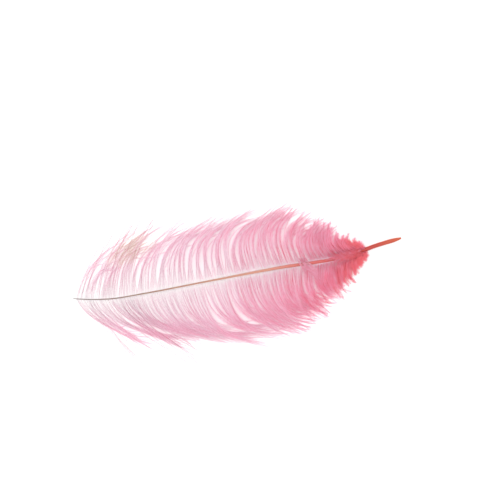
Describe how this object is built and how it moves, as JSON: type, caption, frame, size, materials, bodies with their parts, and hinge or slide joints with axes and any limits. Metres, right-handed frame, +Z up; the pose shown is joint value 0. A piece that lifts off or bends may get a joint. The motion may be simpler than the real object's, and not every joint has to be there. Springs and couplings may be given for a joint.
{
  "type": "ostrich feather",
  "caption": "Pink-dyed ostrich plume with a bowed salmon shaft and long, loose, drooping barbs, lying on a flat surface.",
  "frame": {"origin": "on the surface that the feather lies on, under the middle of the whole feather", "axes": "+X towards the quill end, -X towards the feather's tip, +Z up from the surface, the back of the shaft uppermost"},
  "size_m": [0.4032, 0.1758, 0.0253],
  "materials": {
    "quill_keratin": "satin",
    "barb_down": "matte"
  },
  "bodies": {
    "root": {"shaft": "quill_keratin", "right_vane": "barb_down", "left_vane": "barb_down"}
  },
  "joints": []
}
